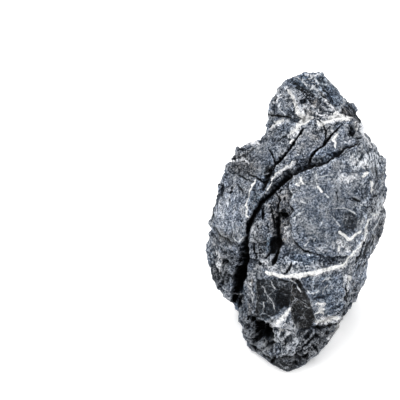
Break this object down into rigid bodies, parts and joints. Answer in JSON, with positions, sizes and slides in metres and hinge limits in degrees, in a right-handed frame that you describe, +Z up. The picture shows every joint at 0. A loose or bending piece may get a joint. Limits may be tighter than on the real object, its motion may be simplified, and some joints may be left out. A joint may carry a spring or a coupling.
{
  "type": "seiryu stone",
  "caption": "Rough grey limestone for an aquascape, upright and faceted, with deep cracks, a split side lobe and white mineral veins, standing on a flat bed.",
  "frame": {"origin": "middle of the stone's box, on the surface it stands on", "axes": "+Z up along the stone's height; the big face and the cracks look towards -Y; +X is to the right of someone looking at that face"},
  "size_m": [0.1237, 0.1238, 0.1889],
  "materials": {
    "stone": "rough blue-grey limestone with white calcite veins"
  },
  "bodies": {
    "root": {"stone": "stone"}
  },
  "joints": []
}
